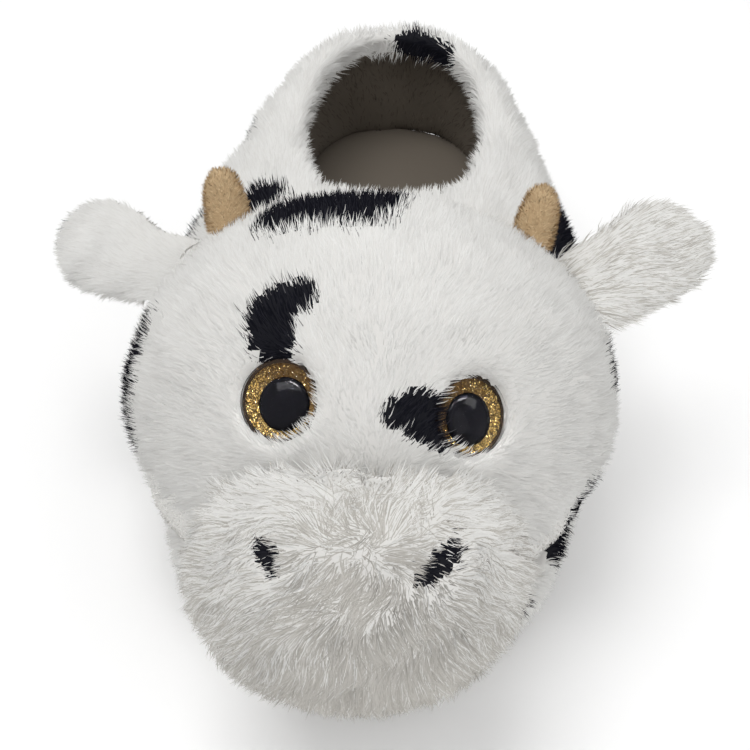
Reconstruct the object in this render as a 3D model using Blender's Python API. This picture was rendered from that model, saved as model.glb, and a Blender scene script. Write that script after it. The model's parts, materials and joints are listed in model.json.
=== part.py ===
"""Plush cow slipper: a low, wide slipper of pile cloth and foam with a stuffed cow's face over the toe.

The wearer's toes point to -Y, +X is the wearer's left and +Z is up. Lengths are in metres. Along the shoe,
places are given as t, the distance from the tip of the sole's toe towards the heel. The origin is on the
floor, under the middle of the shoe's whole length.
"""

import math

import bmesh
import bpy
from mathutils import Vector

# Sole
SOLE_LENGTH = 0.242
BALL_WIDTH = 0.117
OUTSOLE_THICKNESS = 0.003
FOREFOOT_HEIGHT = 0.022  # from the floor to the top of the footbed at the ball
HEEL_LIFT = 0.008  # how much higher the footbed is under the heel
TOE_SPRING = 0.006
ARCH_HOLLOW = 0.0015
OUTSOLE_INSET = 0.003
OUTSOLE_ROUND = 0.001
BAND_SWELL = 0.004  # how far the sole's soft side stands out at half its height
INSOLE_THICKNESS = 0.004
INSOLE_ROUND = 0.0015

# Upper
WALL = 0.010  # pile, foam and lining together
COLLAR_WALL = 0.014
BODY_SWELL = 0.010  # how far the upper stands out past the sole's outline
TOE_INSET = 0.006
INSTEP_HEIGHT = 0.096
COLLAR_HEIGHT = 0.081
COLLAR_LENGTH = 0.102
COLLAR_WIDTH = 0.048
HEEL_WALL = 0.019  # from the back of the sole to the back of the opening

# Face
FACE_WIDTH = 0.140
FACE_TOP = 0.122
FACE_MIDDLE_HEIGHT = 0.052
FACE_FULLEST = 0.060  # t where the face is widest and highest
FACE_FRONT = 0.066  # from there to its foremost point
FACE_BACK_REACH = 0.130  # how slowly its width closes behind
FACE_TOP_REACH = 0.068  # how slowly its top falls behind
FACE_NOSE_WIDE = 1.45  # how pointed its front is in plan, where 2 is round
FACE_NOSE_HIGH = 1.80  # and from the side
JOWL = 0.40  # how squarely its lower corners turn under, where 1 is round
FACE_SEAM = 0.100  # t of the seam behind the face
FACE_BACK_ROUND = 0.007
SOCKET_DEPTH = 0.008
SOCKET_SPREAD = 0.013

# Muzzle
MUZZLE_REACH = 0.038  # how far it stands out in front of the sole
MUZZLE_DEPTH = 0.080
MUZZLE_WIDTH = 0.093
MUZZLE_HEIGHT = 0.074
MUZZLE_CLEARANCE = 0.020  # from the floor to its lowest point

# Ears and horns
EAR_LENGTH = 0.042
EAR_WIDTH = 0.034
EAR_THICKNESS = 0.013
EAR_HEIGHT = 0.077
EAR_SWEEPS = {"left": 42, "right": 36}  # degrees towards the heel
EAR_DROOPS = {"left": -8, "right": 5}  # degrees below level
EAR_ROOT = 0.010  # how deep its root starts inside the face
EAR_FLAT = (0.0, -0.65, 0.76)  # the way its flat side looks
HORN_LENGTH = 0.0135
HORN_ROOT = 0.008
HORN_WIDTH = 0.015
HORN_SPACING = 0.086
HORN_LEAN = (0.20, 0.42, 0.88)  # outwards, towards the heel and up

# Eyes
EYE_WIDTH = 0.021
EYE_ACROSS = {"left": 0.031, "right": -0.025}  # from the middle of the shoe, as they are sewn on
EYE_HEIGHTS = {"left": 0.0925, "right": 0.0965}
EYE_DISC = 0.003
EYE_ROUND = 0.0005
LENS_HEIGHT = 0.0055
LENS_EDGE = 0.0008

GAP = 0.0003  # between pieces that touch

STATIONS = 56  # round the shoe's outline
BAND_STEPS = 5
SIDE_STEPS = 4
CROWN_STEPS = 9
RIM_STEPS = 6
LINING_STEPS = 9
FACE_ROWS = 18
FACE_COLUMNS = 44
MUZZLE_COLUMNS = 28
STALK_COLUMNS = 16
EYE_COLUMNS = 24
LENS_STEPS = 4

# The sole's outline from toe to heel: share of the length, share of half the ball width
OUTLINE = (
    (0.000, 0.00),
    (0.020, 0.34),
    (0.075, 0.62),
    (0.165, 0.86),
    (0.310, 1.00),
    (0.440, 0.97),
    (0.560, 0.86),
    (0.680, 0.755),
    (0.800, 0.70),
    (0.905, 0.585),
    (0.970, 0.375),
    (1.000, 0.00),
)

# The upper along the sole: share of the length, share of BODY_SWELL, how high the widest line lies between
# the sole and the top, and how full the crown is, where 2 is an ellipse
BODY = (
    (0.00, 0.00, 0.12, 1.60),
    (0.12, 0.30, 0.20, 1.70),
    (0.25, 0.35, 0.28, 1.85),
    (0.38, 0.60, 0.36, 2.00),
    (0.50, 0.90, 0.42, 2.15),
    (0.62, 1.00, 0.44, 2.25),
    (0.74, 0.75, 0.44, 2.30),
    (0.84, 0.42, 0.42, 2.30),
    (0.93, 0.22, 0.38, 2.25),
    (1.00, 0.12, 0.34, 2.20),
)

# Where a line up the upper meets the collar: share of the way round the sole's outline from toe to heel,
# and share of the way round the collar from its front to its back
FAN = (
    (0.00, 0.00),
    (0.20, 0.07),
    (0.40, 0.16),
    (0.55, 0.27),
    (0.70, 0.46),
    (0.82, 0.65),
    (0.92, 0.84),
    (1.00, 1.00),
)

# An ear and a horn from root to tip: share of the length, share of the width
EAR = (
    (0.00, 0.84),
    (0.18, 0.84),
    (0.38, 0.90),
    (0.58, 1.00),
    (0.76, 0.96),
    (0.90, 0.72),
    (0.97, 0.42),
    (1.00, 0.00),
)
HORN = (
    (0.00, 1.00),
    (0.30, 1.00),
    (0.60, 0.90),
    (0.80, 0.72),
    (0.93, 0.45),
    (1.00, 0.00),
)

HEEL_END = BAND_SWELL
MIDDLE = (SOLE_LENGTH + HEEL_END - MUZZLE_REACH) / 2


def at(x, t, z):
    """A point in the shoe's frame."""
    return Vector((x, t - MIDDLE, z))


def smooth(a, b, v):
    """0 up to a, 1 from b, with a soft rise between."""
    u = min(1.0, max(0.0, (v - a) / (b - a)))
    return u * u * (3 - 2 * u)


def read(table, v, column):
    """A table's column at v, joined softly between its rows."""
    rows = list(table)
    if v <= rows[0][0]:
        return rows[0][column]
    for low, high in zip(rows, rows[1:]):
        if v <= high[0]:
            break
    else:
        return rows[-1][column]

    def slope(k):
        a = rows[max(k - 1, 0)]
        b = rows[min(k + 1, len(rows) - 1)]
        return (b[column] - a[column]) / (b[0] - a[0])

    k = rows.index(low)
    h = high[0] - low[0]
    u = (v - low[0]) / h
    return (
        (2 * u**3 - 3 * u**2 + 1) * low[column]
        + (u**3 - 2 * u**2 + u) * h * slope(k)
        + (3 * u**2 - 2 * u**3) * high[column]
        + (u**3 - u**2) * h * slope(k + 1)
    )


def curve_point(points, k, u):
    """A point on the smooth closed curve through points, u of the way from point k to the next."""
    n = len(points)
    a, b, c, d = (points[(k + i) % n] for i in (-1, 0, 1, 2))
    return 0.5 * (2 * b + (c - a) * u + (2 * a - 5 * b + 4 * c - d) * u * u + (3 * b - a - 3 * c + d) * u**3)


def sole_outline(count):
    """The sole's outline as count places (x, t) evenly spaced round it, toe first, then the +X side."""
    right = [Vector((w * BALL_WIDTH / 2, s * SOLE_LENGTH)) for s, w in OUTLINE]
    left = [Vector((-p.x, p.y)) for p in right[-2:0:-1]]
    ring = right + left
    fine = [curve_point(ring, k, i / 16) for k in range(len(ring)) for i in range(16)]
    return spaced(fine, count)


def spaced(fine, count):
    """A closed run of places cut down to count, evenly spaced."""
    steps = [(fine[(i + 1) % len(fine)] - fine[i]).length for i in range(len(fine))]
    total = sum(steps)
    found = []
    gone, i = 0.0, 0
    for k in range(count):
        want = total * k / count
        while gone + steps[i] < want:
            gone += steps[i]
            i += 1
        found.append(fine[i].lerp(fine[(i + 1) % len(fine)], (want - gone) / steps[i]))
    return found


def outward(ring):
    """Each place's outward direction across a closed run."""
    found = []
    for i in range(len(ring)):
        along = ring[(i + 1) % len(ring)] - ring[i - 1]
        found.append(Vector((-along.y, along.x)).normalized() * -1)
    return found


RING = sole_outline(STATIONS)
ACROSS = outward(RING)


def floor_rise(t):
    """How far the sole's underside is off the floor: the toe spring and a shallow hollow at the arch."""
    spring = TOE_SPRING * (1 - smooth(0.0, 0.17, t / SOLE_LENGTH)) ** 1.5
    arch = ARCH_HOLLOW * smooth(0.40, 0.48, t / SOLE_LENGTH) * (1 - smooth(0.62, 0.70, t / SOLE_LENGTH))
    return spring + arch


def sole_top(t):
    """The height of the footbed, which is also where the upper stands."""
    spring = 0.5 * TOE_SPRING * (1 - smooth(0.0, 0.25, t / SOLE_LENGTH))
    return FOREFOOT_HEIGHT + HEEL_LIFT * smooth(0.42, 0.72, t / SOLE_LENGTH) + spring


def stacked(name, rings):
    """A closed form from rings of points, lowest first, with strips across its two ends."""
    mesh = bmesh.new()
    made = [[mesh.verts.new(p) for p in ring] for ring in rings]
    n = len(rings[0])
    for low, high in zip(made, made[1:]):
        for i in range(n):
            j = (i + 1) % n
            mesh.faces.new((low[i], low[j], high[j], high[i]))
    strip_across(mesh, made[0], True)
    strip_across(mesh, made[-1], False)
    return finished(name, mesh)


def strip_across(mesh, ring, turned):
    """Closes a ring that starts at the toe by strips from its one side to the other."""
    n = len(ring)
    half = n // 2
    for i in range(half):
        a, b = ring[i], ring[i + 1]
        c, d = ring[-i - 1], ring[-i % n]
        corners = [v for k, v in enumerate((a, b, c, d)) if v not in (a, b, c, d)[:k]]
        mesh.faces.new(corners[::-1] if turned else corners)


def grown(mesh, distance):
    """Moves a bmesh's surface outwards."""
    mesh.normal_update()
    shifts = [(v, v.normal * distance) for v in mesh.verts]
    for v, shift in shifts:
        v.co += shift


def finished(name, mesh, grow=0.0):
    """An object from a bmesh, with every face pointing out and round surfaces shaded smooth."""
    bmesh.ops.triangulate(mesh, faces=mesh.faces, quad_method="FIXED")
    bmesh.ops.recalc_face_normals(mesh, faces=mesh.faces)
    if grow:
        grown(mesh, grow)
    data = bpy.data.meshes.new(name)
    mesh.to_mesh(data)
    mesh.free()
    data.shade_smooth()
    data.set_sharp_from_angle(angle=math.radians(40))
    thing = bpy.data.objects.new(name, data)
    bpy.context.scene.collection.objects.link(thing)
    return thing


def material(name, colour, roughness, metallic=0.0):
    """A plain surface colour."""
    found = bpy.data.materials.get(name) or bpy.data.materials.new(name)
    found.use_nodes = True
    shader = found.node_tree.nodes["Principled BSDF"]
    shader.inputs["Base Color"].default_value = (*colour, 1)
    shader.inputs["Roughness"].default_value = roughness
    shader.inputs["Metallic"].default_value = metallic
    found.diffuse_color = (*colour, 1)
    return found


def dress(thing, surface):
    """Gives a piece one surface."""
    thing.data.materials.clear()
    thing.data.materials.append(surface)


def cut(thing, cutter):
    """Takes a cutter's shape out of a piece."""
    cutter.hide_render = True
    cutter.display_type = "WIRE"
    step = thing.modifiers.new("cut_" + cutter.name, "BOOLEAN")
    step.operation = "DIFFERENCE"
    step.solver = "EXACT"
    step.object = cutter


# Sole


def sole_ring(outwards, low, high, share):
    """The sole's outline moved outwards, share of the way up between two heights that vary along it."""
    ring = []
    for place, across in zip(RING, ACROSS):
        p = place + across * outwards(place.y / SOLE_LENGTH)
        ring.append(at(p.x, p.y, low(p.y) + (high(p.y) - low(p.y)) * share))
    return ring


def make_outsole():
    """The thin sole cloth, whose lower edge is slightly rounded."""

    def top(t):
        return floor_rise(t) + OUTSOLE_THICKNESS

    levels = ((0.0, OUTSOLE_INSET + OUTSOLE_ROUND), (0.4, OUTSOLE_INSET), (1.0, OUTSOLE_INSET))
    rings = [sole_ring(lambda along, i=inset: -i, floor_rise, top, share) for share, inset in levels]
    return stacked("outsole", rings)


def make_midsole(name="midsole", grow=0.0):
    """The foam sole in its pile cover, with a soft side that is widest at half its height."""

    def bottom(t):
        return floor_rise(t) + OUTSOLE_THICKNESS + GAP - grow

    def top(t):
        return sole_top(t) + grow

    levels = [(0.0, -OUTSOLE_INSET)]
    for k in range(BAND_STEPS + 1):
        share = 0.08 + 0.92 * k / BAND_STEPS
        levels.append((share, BAND_SWELL * math.sin(math.pi * (0.12 + 0.70 * share))))
    rings = [sole_ring(lambda along, o=out: o + grow, bottom, top, share) for share, out in levels]
    return stacked(name, rings)


def make_insole():
    """The footbed inside the upper's lower edge, with a softly rounded rim."""

    def bottom(t):
        return sole_top(t) + GAP

    def top(t):
        return sole_top(t) + GAP + INSOLE_THICKNESS

    rings = []
    for share, inset in ((0.0, 0.0), (0.6, 0.0), (1.0, INSOLE_ROUND)):
        rings.append(sole_ring(lambda along, i=inset: body_foot(along) - WALL - GAP - i, bottom, top, share))
    return stacked("insole", rings)


# Upper


def body_foot(along):
    """How far the upper's lower edge stands out past the sole's outline."""
    return -TOE_INSET * (1 - smooth(0.0, 0.22, along))


def collar_place(share):
    """A place on the line where the crown of the upper ends and the collar's rim begins."""
    roll = COLLAR_WALL / 2
    half = COLLAR_LENGTH / 2
    centre = SOLE_LENGTH - HEEL_WALL - half
    turn = math.pi * share
    power = 2 / 2.4
    c, s = math.cos(turn), math.sin(turn)
    x = (COLLAR_WIDTH / 2 + roll) * math.copysign(abs(s) ** power, s)
    t = centre - (half + roll) * math.copysign(abs(c) ** power, c)
    return Vector((x, t))


def collar_inwards(share):
    """The level direction from the collar's line into the opening."""
    step = 0.01
    low, high = max(0.0, share - step), min(1.0, share + step)
    along = collar_place(high) - collar_place(low)
    if share < step or share > 1 - step:
        return Vector((0, math.copysign(1, 0.5 - share), 0))
    return Vector((-along.y, along.x, 0)).normalized()


def collar_height(share):
    """The collar's height, which falls from the instep to the level sides."""
    return INSTEP_HEIGHT + (COLLAR_HEIGHT - INSTEP_HEIGHT) * smooth(0.0, 0.60, share)


def upper_line(station):
    """One line up the outside of the upper, and the level direction that its collar's rim leans in."""
    k = station % STATIONS
    half = STATIONS // 2
    share = k / half if k <= half else (STATIONS - k) / half
    side = 1 if k <= half else -1
    foot_place, across = RING[k], ACROSS[k]
    along = foot_place.y / SOLE_LENGTH
    swell = BODY_SWELL * read(BODY, along, 1)
    foot_out = body_foot(along)
    round_share = read(FAN, share, 1)
    end = collar_place(round_share)
    end = Vector((side * end.x, end.y))
    top = collar_height(round_share)
    foot = sole_top(foot_place.y) + GAP
    widest = foot + (top - foot) * read(BODY, along, 2)
    power = 2 / read(BODY, along, 3)
    line = []
    for i in range(SIDE_STEPS):
        turn = math.pi / 2 * i / SIDE_STEPS
        place = foot_place + across * (foot_out + swell * math.sin(turn))
        line.append(at(place.x, place.y, foot + (widest - foot) * i / SIDE_STEPS))
    edge = foot_place + across * (swell + foot_out)
    for i in range(CROWN_STEPS + 1):
        turn = math.pi / 2 * i / CROWN_STEPS
        inwards = 1 - max(math.cos(turn), 0.0) ** power
        place = edge + (end - edge) * inwards
        line.append(at(place.x, place.y, widest + (top - widest) * math.sin(turn) ** power))
    ahead = collar_inwards(round_share)
    return line, Vector((side * ahead.x, ahead.y, 0))


def surface_normals(lines):
    """The outward direction at every point of a grid of lines that goes round the shoe."""
    n = len(lines)
    found = []
    for k in range(n):
        row = []
        for i in range(len(lines[k])):
            around = lines[(k + 1) % n][i] - lines[k - 1][i]
            up = lines[k][min(i + 1, len(lines[k]) - 1)] - lines[k][max(i - 1, 0)]
            row.append(around.cross(up).normalized())
        row[0] = Vector((ACROSS[k].x, ACROSS[k].y, 0))
        found.append(row)
    return found


def upper_grid():
    """All lines up the upper's outside, the outward directions along them and the ways their rims lean."""
    made = [upper_line(k) for k in range(STATIONS)]
    lines = [line for line, _ in made]
    return lines, surface_normals(lines), [ahead for _, ahead in made]


def make_upper():
    """The hollow upper: outside, rolled rim and inside as one closed wall, open above and below."""
    lines, normals, rims = upper_grid()
    last = len(lines[0]) - 1
    loops = []
    for line, normal, ahead in zip(lines, normals, rims):
        loop = list(line)
        tip = line[-1]
        out = (normal[-1] - ahead * normal[-1].dot(ahead)).normalized()
        roll = COLLAR_WALL / 2
        for i in range(1, RIM_STEPS):
            turn = math.pi * i / RIM_STEPS
            loop.append(tip - out * roll + out * roll * math.cos(turn) + ahead * roll * math.sin(turn))
        for i in range(LINING_STEPS + 1):
            k = last * (1 - i / LINING_STEPS)
            low = int(k)
            part = k - low
            high = min(low + 1, last)
            place = line[low].lerp(line[high], part)
            way = normal[low].lerp(normal[high], part).normalized()
            wall = WALL + (COLLAR_WALL - WALL) * smooth(0.3, 1.0, k / last)
            inner = place - way * wall
            if i == LINING_STEPS:
                inner.z = line[0].z
            loop.append(inner)
        loops.append(loop)
    mesh = bmesh.new()
    grid = [[mesh.verts.new(p) for p in loop] for loop in loops]
    for k in range(STATIONS):
        here, there = grid[k], grid[(k + 1) % STATIONS]
        for i in range(len(here)):
            j = (i + 1) % len(here)
            mesh.faces.new((here[i], there[i], there[j], here[j]))
    return finished("upper", mesh)


def upper_form(name, grow):
    """The upper's outer form as one closed body, for cutting what lies on it."""
    lines, normals, _ = upper_grid()
    below = Vector((0, 0, -FOREFOOT_HEIGHT / 2))
    rings = [[line[0] + below + n[0] * grow for line, n in zip(lines, normals)]]
    for i in range(len(lines[0])):
        rings.append([line[i] + n[i] * grow for line, n in zip(lines, normals)])
    return stacked(name, rings)


# Face


def face_closing(t, back, power):
    """How much of its full section the face has at t: a soft nose in front, a rounding behind."""
    if t < FACE_FULLEST:
        u = min(1.0, (FACE_FULLEST - t) / FACE_FRONT)
        return max(0.0, 1 - u**power) ** (1 / power)
    u = min(1.0, (t - FACE_FULLEST) / back)
    return math.sqrt(1 - u * u)


def face_size(t):
    """Half the face's width at t, and its height above its middle."""
    wide = FACE_WIDTH / 2 * face_closing(t, FACE_BACK_REACH, FACE_NOSE_WIDE)
    high = (FACE_TOP - FACE_MIDDLE_HEIGHT) * face_closing(t, FACE_TOP_REACH, FACE_NOSE_HIGH)
    return wide, high


def face_section(t):
    """The face's section at t as a ring of points, from the +X side upwards."""
    wide, high = face_size(t)
    low = FACE_MIDDLE_HEIGHT - sole_top(max(t, 0.0)) - GAP
    low *= face_closing(t, FACE_BACK_REACH, 2.0) ** 0.6
    rounding = min(1.0, max(0.0, t - (FACE_SEAM - FACE_BACK_ROUND)) / FACE_BACK_ROUND)
    shrink = FACE_BACK_ROUND * (1 - math.sqrt(1 - rounding**2))
    ring = []
    for i in range(FACE_COLUMNS):
        turn = 2 * math.pi * i / FACE_COLUMNS
        c, s = math.cos(turn), math.sin(turn)
        if s >= 0:
            x, z = (wide - shrink) * c, (high - shrink) * s
        else:
            x = (wide - shrink) * math.copysign(abs(c) ** JOWL, c)
            z = -low * abs(s) ** 0.7
        ring.append(at(x, t, FACE_MIDDLE_HEIGHT + z))
    return ring


def face_reaches(x, t, up):
    """Over 0 where a point this far up from the face's middle is outside its upper half at t."""
    wide, high = face_size(t)
    return (x / wide) ** 2 + (up / high) ** 2 - 1


def eye_seat(word):
    """The middle of an eye's back, and the way the eye looks: straight out of the face."""
    x = EYE_ACROSS[word]
    up = EYE_HEIGHTS[word] - FACE_MIDDLE_HEIGHT
    ahead, behind = FACE_FULLEST - 0.95 * FACE_FRONT, FACE_FULLEST
    for _ in range(30):
        middle = (ahead + behind) / 2
        if face_reaches(x, middle, up) > 0:
            ahead = middle
        else:
            behind = middle
    t = (ahead + behind) / 2
    step = 0.0005
    slope = Vector((
        face_reaches(x + step, t, up) - face_reaches(x - step, t, up),
        face_reaches(x, t + step, up) - face_reaches(x, t - step, up),
        face_reaches(x, t, up + step) - face_reaches(x, t, up - step),
    ))
    out = slope.normalized()
    return at(x, t, EYE_HEIGHTS[word]) - out * (SOCKET_DEPTH + EYE_DISC), out


def socket_dip(place, eyes):
    """Presses a point of the face in round the eyes."""
    centre = at(0, FACE_FULLEST, FACE_MIDDLE_HEIGHT)
    for seat, out in eyes:
        near = (place - seat - out * (SOCKET_DEPTH + EYE_DISC)).length / SOCKET_SPREAD
        place = place + (centre - place).normalized() * SOCKET_DEPTH * math.exp(-near * near)
    return place


def face_form(name, grow=0.0):
    """The face's whole form, before the upper is taken out of it."""
    front = FACE_FULLEST - FACE_FRONT
    eyes = [eye_seat(word) for word in EYE_ACROSS]
    full = FACE_SEAM - FACE_BACK_ROUND
    steps = FACE_ROWS
    rows = [front + (full - front) * (1 - math.cos(math.pi / 2 * (k + 0.3) / steps)) for k in range(steps)]
    rows += [full + FACE_BACK_ROUND * math.sin(math.pi / 2 * k / 3) for k in range(4)]
    mesh = bmesh.new()
    nose = mesh.verts.new(at(0, front, FACE_MIDDLE_HEIGHT))
    made = [[mesh.verts.new(socket_dip(p, eyes)) for p in face_section(t)] for t in rows]
    for i in range(FACE_COLUMNS):
        j = (i + 1) % FACE_COLUMNS
        mesh.faces.new((nose, made[0][j], made[0][i]))
        for low, high in zip(made, made[1:]):
            mesh.faces.new((low[i], low[j], high[j], high[i]))
    mesh.faces.new(made[-1])
    return finished(name, mesh, grow)


def make_muzzle():
    """A stuffed egg across the front of the face, cut back to what it lies on."""
    centre = at(0, MUZZLE_DEPTH / 2 - MUZZLE_REACH, MUZZLE_CLEARANCE + MUZZLE_HEIGHT / 2)
    mesh = bmesh.new()
    bmesh.ops.create_uvsphere(mesh, u_segments=MUZZLE_COLUMNS, v_segments=MUZZLE_COLUMNS // 2, radius=1)
    for v in mesh.verts:
        x, y, z = v.co.z, v.co.y, v.co.x
        v.co = centre + Vector((x * MUZZLE_WIDTH / 2, y * MUZZLE_DEPTH / 2, z * MUZZLE_HEIGHT / 2))
    return finished("muzzle", mesh)


# Ears and horns


def stalk(name, root, along, flat, length, width, thickness, table):
    """A closed form that grows from root: rings along its length, as wide as the table says."""
    along = along.normalized()
    flat = (flat - along * flat.dot(along)).normalized()
    across = along.cross(flat)
    mesh = bmesh.new()
    made = []
    for share, size in table[:-1]:
        ring = []
        for i in range(STALK_COLUMNS):
            turn = 2 * math.pi * i / STALK_COLUMNS
            side = across * width / 2 * size * math.cos(turn) + flat * thickness / 2 * size * math.sin(turn)
            ring.append(mesh.verts.new(root + along * length * share + side))
        made.append(ring)
    tip = mesh.verts.new(root + along * length)
    mesh.faces.new(made[0])
    for i in range(STALK_COLUMNS):
        j = (i + 1) % STALK_COLUMNS
        for low, high in zip(made, made[1:]):
            mesh.faces.new((low[i], low[j], high[j], high[i]))
        mesh.faces.new((made[-1][i], made[-1][j], tip))
    return finished(name, mesh)


def make_ear(word, side):
    """A flat stuffed ear that stands out sideways and back from the seam behind the face."""
    sweep, fall = math.radians(EAR_SWEEPS[word]), math.radians(EAR_DROOPS[word])
    level = Vector((side * math.cos(sweep), math.sin(sweep), 0))
    along = level * math.cos(fall) - Vector((0, 0, math.sin(fall)))
    flat = Vector(EAR_FLAT)
    wide, high = face_size(FACE_SEAM - FACE_BACK_ROUND)
    up = EAR_HEIGHT - FACE_MIDDLE_HEIGHT
    x = wide * math.sqrt(1 - (up / high) ** 2)
    root = at(side * x, FACE_SEAM - FACE_BACK_ROUND, EAR_HEIGHT) - along * EAR_ROOT
    return stalk("ear_" + word, root, along, flat, EAR_LENGTH + EAR_ROOT, EAR_WIDTH, EAR_THICKNESS, EAR)


def make_horn(word, side):
    """A short stuffed horn that leans back from the seam behind the face."""
    lean = Vector((side * HORN_LEAN[0], HORN_LEAN[1], HORN_LEAN[2])).normalized()
    t = FACE_SEAM - FACE_BACK_ROUND * 0.6
    wide, high = face_size(t)
    x = HORN_SPACING / 2
    up = high * math.sqrt(1 - (x / wide) ** 2)
    root = at(side * x, t, FACE_MIDDLE_HEIGHT + up) - lean * HORN_ROOT
    flat = Vector((0, -1, 0))
    return stalk("horn_" + word, root, lean, flat, HORN_LENGTH + HORN_ROOT, HORN_WIDTH, HORN_WIDTH, HORN)


# Eyes


def turned(name, profile, seat, out):
    """A turned form from a profile of (radius, distance along out), closed on its axis."""
    turn = out.to_track_quat("Z", "Y").to_matrix()
    mesh = bmesh.new()
    made = []
    for radius, height in profile:
        if radius == 0:
            made.append([mesh.verts.new(seat + turn @ Vector((0, 0, height)))])
            continue
        ring = []
        for i in range(EYE_COLUMNS):
            a = 2 * math.pi * i / EYE_COLUMNS
            ring.append(mesh.verts.new(seat + turn @ Vector((radius * math.cos(a), radius * math.sin(a), height))))
        made.append(ring)
    for low, high in zip(made, made[1:]):
        for i in range(EYE_COLUMNS):
            j = (i + 1) % EYE_COLUMNS
            corners = [low[i % len(low)], low[j % len(low)], high[j % len(high)], high[i % len(high)]]
            corners = [v for k, v in enumerate(corners) if v not in corners[:k]]
            mesh.faces.new(corners)
    return finished(name, mesh)


def make_eye(word):
    """The eye's flat back, which carries its colours."""
    seat, out = eye_seat(word)
    r = EYE_WIDTH / 2
    profile = ((0, GAP), (r - EYE_ROUND, GAP), (r, GAP + EYE_ROUND), (r, EYE_DISC), (0, EYE_DISC))
    return turned("eye_" + word, profile, seat, out)


def make_lens(word):
    """The clear dome over the eye."""
    seat, out = eye_seat(word)
    r = EYE_WIDTH / 2
    back = EYE_DISC + GAP
    profile = [(0, back), (r, back)]
    for k in range(LENS_STEPS):
        a = math.pi / 2 * k / LENS_STEPS
        profile.append((r * math.cos(a), back + LENS_EDGE + (LENS_HEIGHT - LENS_EDGE) * math.sin(a)))
    profile.append((0, back + LENS_HEIGHT))
    return turned("lens_" + word, profile, seat, out)


def eye_pocket(word):
    """What is cut away for an eye, out to past the pile in front of it."""
    seat, out = eye_seat(word)
    r = EYE_WIDTH / 2 + GAP
    return turned("cutter_eye_" + word, ((0, 0), (r, 0), (r, EYE_WIDTH), (0, EYE_WIDTH)), seat, out)


def main():
    """Clears the scene and makes every piece."""
    for thing in list(bpy.data.objects):
        bpy.data.objects.remove(thing)
    white = material("plush_white", (0.72, 0.71, 0.68), 0.95)
    lining = material("lining_taupe", (0.10, 0.085, 0.07), 0.95)
    grip = material("grip_fabric", (0.30, 0.28, 0.25), 0.9)
    tan = material("horn_tan", (0.46, 0.31, 0.17), 0.9)
    gold = material("eye_gold", (0.30, 0.20, 0.07), 0.35, 0.6)
    clear = material("eye_lens", (0.9, 0.9, 0.9), 0.05)
    upper_cutter = upper_form("cutter_upper", GAP)
    face_cutter = face_form("cutter_face", GAP)
    sole_cutter = make_midsole("cutter_sole", GAP)

    dress(make_outsole(), grip)
    dress(make_midsole(), white)
    dress(make_insole(), lining)
    dress(make_upper(), white)
    face = face_form("face")
    cut(face, upper_cutter)
    dress(face, white)
    muzzle = make_muzzle()
    for cutter in (face_cutter, upper_cutter, sole_cutter):
        cut(muzzle, cutter)
    dress(muzzle, white)
    for side, word in ((1, "left"), (-1, "right")):
        pocket = eye_pocket(word)
        cut(face, pocket)
        cut(muzzle, pocket)
        dress(make_eye(word), gold)
        dress(make_lens(word), clear)
        ear = make_ear(word, side)
        horn = make_horn(word, side)
        for thing in (ear, horn):
            cut(thing, face_cutter)
            cut(thing, upper_cutter)
        dress(ear, white)
        dress(horn, tan)


main()
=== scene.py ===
"""Looks of the plush cow slipper: stuffed pile covers, hair, toy eyes, lining and sole cloth.

Places are in metres in the shoe's frame: toes to -Y, the wearer's left to +X, up to +Z. Spots and creases
are listed in millimetres.
"""

import json
import math

import bpy
import numpy as np
from mathutils import Matrix, Vector, kdtree
from mathutils.bvhtree import BVHTree

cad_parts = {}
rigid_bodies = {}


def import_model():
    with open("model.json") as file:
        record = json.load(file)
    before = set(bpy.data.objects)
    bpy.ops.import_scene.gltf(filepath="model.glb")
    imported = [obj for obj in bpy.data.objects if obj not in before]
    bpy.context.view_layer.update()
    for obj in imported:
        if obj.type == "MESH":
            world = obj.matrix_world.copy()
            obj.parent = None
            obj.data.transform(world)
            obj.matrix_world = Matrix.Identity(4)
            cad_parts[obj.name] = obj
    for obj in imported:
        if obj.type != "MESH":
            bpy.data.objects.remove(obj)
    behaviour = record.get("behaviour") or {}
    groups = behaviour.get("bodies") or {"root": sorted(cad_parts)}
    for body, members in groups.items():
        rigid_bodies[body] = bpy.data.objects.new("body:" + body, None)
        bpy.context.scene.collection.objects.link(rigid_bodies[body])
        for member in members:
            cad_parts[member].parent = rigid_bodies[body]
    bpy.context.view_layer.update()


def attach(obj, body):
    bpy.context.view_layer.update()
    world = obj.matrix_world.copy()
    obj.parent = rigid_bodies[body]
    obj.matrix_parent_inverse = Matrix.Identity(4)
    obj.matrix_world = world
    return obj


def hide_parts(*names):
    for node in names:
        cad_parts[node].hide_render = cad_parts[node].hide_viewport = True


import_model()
scene = bpy.context.scene
scene.view_settings.view_transform = "Standard"
scene.view_settings.look = "None"
MM = 0.001

# Toy eyes: the disc with its ring of glitter, the pupil and the clear dome
EYE_RADIUS = 0.0105
DISC_TOP = 0.0013
RING_RADIUS = 0.0098
PUPIL_RADIUS = 0.0068
PUPIL_RISE = 0.0020
PUPIL_SHIFT = 0.0012  # towards the nose
LENS_FOOT = DISC_TOP + 0.0004
LENS_RISE = 0.0058
FLAKES = 2400
TINY = 0.00002

# The foot's room in the upper: its axis from heel to instep, the footbed's top and the collar's rim
AXIS_START = 0.03
AXIS_END = 0.10
AXIS_HEIGHT = 0.045
FOOTBED_TOP = 0.0335
COLLAR_TOP = 0.070

# Hair
RISE_SPREAD = 10  # degrees
LENGTH_SPREAD = 0.25
CLUMP_SIZE = 0.0025
ROOT_DEPTH = 0.0006
TUFT_SIZE = 0.012
NAP_SHARES = (0.5, 0.32, 0.18)
HEAD_MIDDLE = (0.0, -0.045, 0.055)
EAR_FRONT = (0, -0.65, 0.76)

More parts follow.
